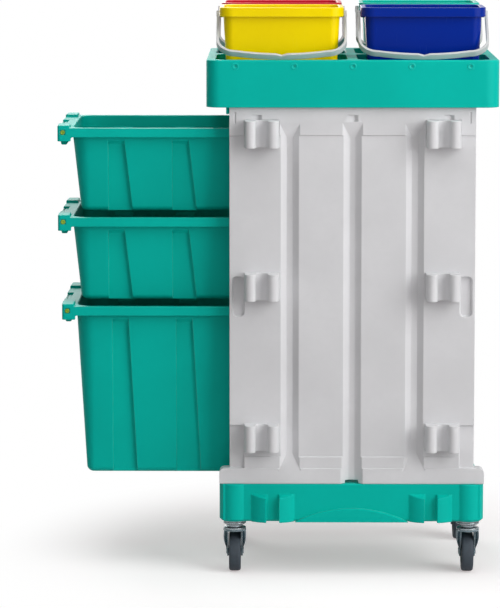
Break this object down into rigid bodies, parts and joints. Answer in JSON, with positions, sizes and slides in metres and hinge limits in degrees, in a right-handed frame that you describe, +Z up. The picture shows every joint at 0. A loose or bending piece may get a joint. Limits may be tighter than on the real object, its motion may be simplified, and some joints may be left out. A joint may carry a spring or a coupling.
{
  "type": "storage cart",
  "caption": "Housekeeping storage cart on swivel castors with sliding drawers between two panels, pole clips and a top tray of coloured buckets.",
  "frame": {"origin": "floor level under the middle of the overall box, with the drawers drawn out as in the picture", "axes": "+Z up; the drawers open towards -X; the panel seen in the picture faces -Y"},
  "size_m": [0.865, 0.5, 1.1173],
  "materials": {
    "teal_plastic": "fine moulded satin",
    "grey_plastic": "fine moulded satin",
    "bail_plastic": "smooth satin",
    "yellow_plastic": "smooth moulded",
    "red_plastic": "smooth moulded",
    "blue_plastic": "smooth moulded",
    "green_plastic": "smooth moulded",
    "plug_plastic": "smooth moulded",
    "castor_steel": "zinc plated",
    "fork_steel": "dark slate, satin",
    "hub_plastic": "moulded",
    "tyre_rubber": "moulded dark grey rubber"
  },
  "bodies": {
    "cart_frame": {"base_platform": "teal_plastic", "top_tray": "teal_plastic", "side_panel_front": "grey_plastic", "drawer_runners_front": "grey_plastic", "pole_clips_front_left": "grey_plastic", "pole_clips_front_right": "grey_plastic", "side_panel_back": "grey_plastic", "drawer_runners_back": "grey_plastic", "pole_clips_back_left": "grey_plastic", "pole_clips_back_right": "grey_plastic", "castor_front_left_stem": "castor_steel", "castor_front_right_stem": "castor_steel", "castor_back_left_stem": "castor_steel", "castor_back_right_stem": "castor_steel"},
    "fork_front_left": {"castor_front_left_fork": "fork_steel", "castor_front_left_axle": "castor_steel"},
    "wheel_front_left": {"castor_front_left_hub": "hub_plastic", "castor_front_left_tyre": "tyre_rubber"},
    "fork_front_right": {"castor_front_right_fork": "fork_steel", "castor_front_right_axle": "castor_steel"},
    "wheel_front_right": {"castor_front_right_hub": "hub_plastic", "castor_front_right_tyre": "tyre_rubber"},
    "fork_back_left": {"castor_back_left_fork": "fork_steel", "castor_back_left_axle": "castor_steel"},
    "wheel_back_left": {"castor_back_left_hub": "hub_plastic", "castor_back_left_tyre": "tyre_rubber"},
    "fork_back_right": {"castor_back_right_fork": "fork_steel", "castor_back_right_axle": "castor_steel"},
    "wheel_back_right": {"castor_back_right_hub": "hub_plastic", "castor_back_right_tyre": "tyre_rubber"},
    "drawer_body_top": {"drawer_top": "teal_plastic", "drawer_plugs_top": "plug_plastic"},
    "drawer_body_middle": {"drawer_middle": "teal_plastic", "drawer_plugs_middle": "plug_plastic"},
    "drawer_body_bottom": {"drawer_bottom": "teal_plastic", "drawer_plugs_bottom": "plug_plastic"},
    "bucket_body_yellow": {"bucket_yellow": "yellow_plastic"},
    "bail_body_yellow": {"bail_yellow": "bail_plastic"},
    "bucket_body_blue": {"bucket_blue": "blue_plastic"},
    "bail_body_blue": {"bail_blue": "bail_plastic"},
    "bucket_body_red": {"bucket_red": "red_plastic"},
    "bail_body_red": {"bail_red": "bail_plastic"},
    "bucket_body_green": {"bucket_green": "green_plastic"},
    "bail_body_green": {"bail_green": "bail_plastic"}
  },
  "joints": [
    {"name": "swivel_front_left", "type": "hinge", "parent": "cart_frame", "child": "fork_front_left", "pos_m": [-0.0825, -0.19, 0.096], "axis": [0, 0, 1], "continuous": true},
    {"name": "roll_front_left", "type": "hinge", "parent": "fork_front_left", "child": "wheel_front_left", "pos_m": [-0.0825, -0.162, 0.04], "axis": [1, 0, 0], "continuous": true},
    {"name": "swivel_front_right", "type": "hinge", "parent": "cart_frame", "child": "fork_front_right", "pos_m": [0.3775, -0.19, 0.096], "axis": [0, 0, 1], "continuous": true},
    {"name": "roll_front_right", "type": "hinge", "parent": "fork_front_right", "child": "wheel_front_right", "pos_m": [0.3775, -0.162, 0.04], "axis": [1, 0, 0], "continuous": true},
    {"name": "swivel_back_left", "type": "hinge", "parent": "cart_frame", "child": "fork_back_left", "pos_m": [-0.0825, 0.19, 0.096], "axis": [0, 0, 1], "continuous": true},
    {"name": "roll_back_left", "type": "hinge", "parent": "fork_back_left", "child": "wheel_back_left", "pos_m": [-0.0825, 0.162, 0.04], "axis": [1, 0, 0], "continuous": true},
    {"name": "swivel_back_right", "type": "hinge", "parent": "cart_frame", "child": "fork_back_right", "pos_m": [0.3775, 0.19, 0.096], "axis": [0, 0, 1], "continuous": true},
    {"name": "roll_back_right", "type": "hinge", "parent": "fork_back_right", "child": "wheel_back_right", "pos_m": [0.3775, 0.162, 0.04], "axis": [1, 0, 0], "continuous": true},
    {"name": "drawer_slide_top", "type": "slide", "parent": "cart_frame", "child": "drawer_body_top", "axis": [1, 0, 0], "range_m": [0, 0.331]},
    {"name": "drawer_slide_middle", "type": "slide", "parent": "cart_frame", "child": "drawer_body_middle", "axis": [1, 0, 0], "range_m": [0, 0.331]},
    {"name": "drawer_slide_bottom", "type": "slide", "parent": "cart_frame", "child": "drawer_body_bottom", "axis": [1, 0, 0], "range_m": [-0.007, 0.324]},
    {"name": "bucket_lift_yellow", "type": "slide", "parent": "cart_frame", "child": "bucket_body_yellow", "axis": [0, 0, 1], "range_m": [0, 0.2]},
    {"name": "bail_swing_yellow", "type": "hinge", "parent": "bucket_body_yellow", "child": "bail_body_yellow", "pos_m": [0.009, -0.107, 1.1023], "axis": [-1, 0, 0], "range_deg": [0, 256]},
    {"name": "bucket_lift_blue", "type": "slide", "parent": "cart_frame", "child": "bucket_body_blue", "axis": [0, 0, 1], "range_m": [0, 0.2]},
    {"name": "bail_swing_blue", "type": "hinge", "parent": "bucket_body_blue", "child": "bail_body_blue", "pos_m": [0.286, -0.107, 1.1023], "axis": [-1, 0, 0], "range_deg": [0, 256]},
    {"name": "bucket_lift_red", "type": "slide", "parent": "cart_frame", "child": "bucket_body_red", "axis": [0, 0, 1], "range_m": [0, 0.2]},
    {"name": "bail_swing_red", "type": "hinge", "parent": "bucket_body_red", "child": "bail_body_red", "pos_m": [0.009, 0.107, 1.1023], "axis": [-1, 0, 0], "range_deg": [0, 256]},
    {"name": "bucket_lift_green", "type": "slide", "parent": "cart_frame", "child": "bucket_body_green", "axis": [0, 0, 1], "range_m": [0, 0.2]},
    {"name": "bail_swing_green", "type": "hinge", "parent": "bucket_body_green", "child": "bail_body_green", "pos_m": [0.286, 0.107, 1.1023], "axis": [-1, 0, 0], "range_deg": [0, 256]}
  ]
}
